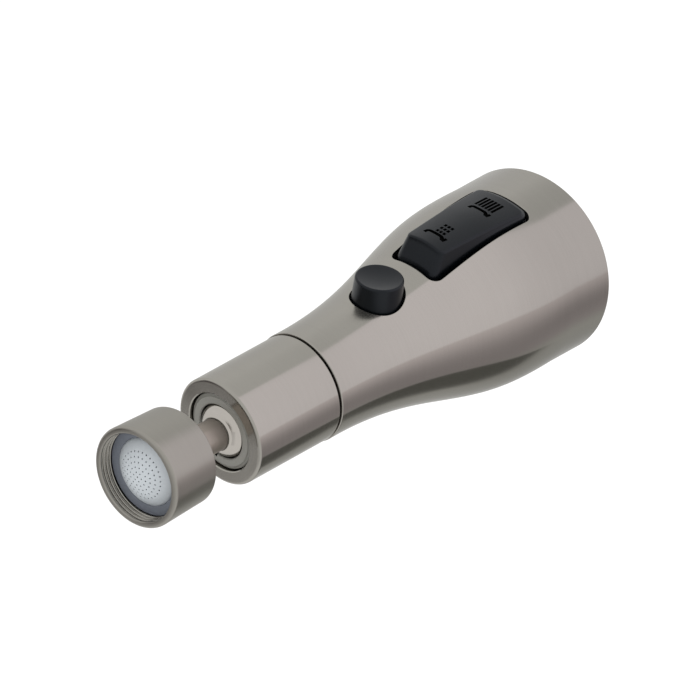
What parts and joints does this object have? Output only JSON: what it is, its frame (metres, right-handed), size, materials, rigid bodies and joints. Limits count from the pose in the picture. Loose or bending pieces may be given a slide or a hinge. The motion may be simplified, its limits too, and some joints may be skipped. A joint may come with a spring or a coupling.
{
  "type": "pull-down faucet spray head",
  "caption": "Pull-down kitchen faucet spray head: brushed nickel bell handle, round pause button, spray and stream rocker, and a ball joint that carries the hose nut.",
  "frame": {"origin": "centre of the neck sleeve's hose-end face, where the head docks on the faucet's spout", "axes": "+X along the handle from the hose nut to the spray face, +Z the side with the buttons"},
  "size_m": [0.1508, 0.0546, 0.0549],
  "materials": {
    "brushed_nickel": "brushed nickel with fine circumferential brushing",
    "bright_nickel": "polished nickel",
    "grey_acetal": "satin moulded grey plastic",
    "charcoal_plastic": "fine matt moulded plastic",
    "dark_plastic": "satin moulded plastic",
    "white_acetal": "natural acetal",
    "moulded_grey": "moulded engineering plastic",
    "washer_rubber": "matt grey rubber",
    "black_rubber": "black seal rubber",
    "nozzle_rubber": "soft silicone",
    "screen_plastic": "pale translucent moulded plastic",
    "steel": "plain stainless steel"
  },
  "bodies": {
    "handle": {"handle_shell": "brushed_nickel", "neck_sleeve": "brushed_nickel", "socket_retainer": "grey_acetal", "waterway_body": "moulded_grey", "ball_seal": "black_rubber", "neck_seal": "black_rubber", "check_valve_body": "white_acetal", "check_spring": "steel", "pause_bonnet": "white_acetal", "pause_spring": "steel", "rocker_pin": "steel", "control_frame": "moulded_grey", "frame_screw_1": "steel", "frame_screw_2": "steel", "flow_deck": "moulded_grey", "deck_seal": "black_rubber", "face_screw_1": "steel", "face_screw_2": "steel", "face_screw_3": "steel", "nozzle_mat": "nozzle_rubber", "spray_plate": "dark_plastic", "face_ring": "dark_plastic", "aerator_housing": "dark_plastic", "aerator_screen": "moulded_grey", "aerator_insert": "white_acetal"},
    "ball_seat": {"ball_seat": "white_acetal"},
    "ball_stem": {"ball_stem": "bright_nickel"},
    "hose_nut": {"hose_nut": "brushed_nickel", "hose_washer": "washer_rubber", "filter_screen": "screen_plastic"},
    "check_poppet": {"check_poppet": "dark_plastic"},
    "pause_button": {"pause_button": "charcoal_plastic", "pause_plunger": "steel", "plunger_seal": "black_rubber"},
    "rocker": {"rocker_button": "charcoal_plastic"},
    "diverter": {"diverter_spool": "white_acetal", "spool_seal_rear": "black_rubber", "spool_seal_front": "black_rubber"}
  },
  "joints": [
    {"name": "ball_swivel", "type": "hinge", "parent": "handle", "child": "ball_seat", "pos_m": [0.00567, 0, 0], "axis": [1, 0, 0], "continuous": true},
    {"name": "ball_tilt", "type": "hinge", "parent": "ball_seat", "child": "ball_stem", "pos_m": [0.00567, 0, 0], "axis": [0, 0.7684, 0.64], "range_deg": [-28.46, 11.54]},
    {"name": "nut_spin", "type": "hinge", "parent": "ball_stem", "child": "hose_nut", "pos_m": [-0.02927, -0.00333, 0.00399], "axis": [-0.9891, -0.0942, 0.113], "continuous": true},
    {"name": "check_valve_lift", "type": "slide", "parent": "handle", "child": "check_poppet", "axis": [1, 0, 0], "range_m": [0, 0.0016], "stiffness_N_per_m": 150, "springref_m": -0.001, "deforming": ["check_spring"]},
    {"name": "pause_press", "type": "slide", "parent": "handle", "child": "pause_button", "axis": [0, 0, -1], "range_m": [0, 0.003], "stiffness_N_per_m": 1200, "springref_m": -0.002, "deforming": ["pause_spring"]},
    {"name": "rocker_tilt", "type": "hinge", "parent": "handle", "child": "rocker", "pos_m": [0.0845, 0, 0.018], "axis": [0, -1, 0], "range_deg": [0, 10]},
    {"name": "diverter_slide", "type": "slide", "parent": "handle", "child": "diverter", "axis": [1, 0, 0], "range_m": [0, 0.0023]}
  ],
  "couplings": [
    {"joint": "diverter_slide", "follows": "rocker_tilt", "m_per_rad": 0.013}
  ]
}
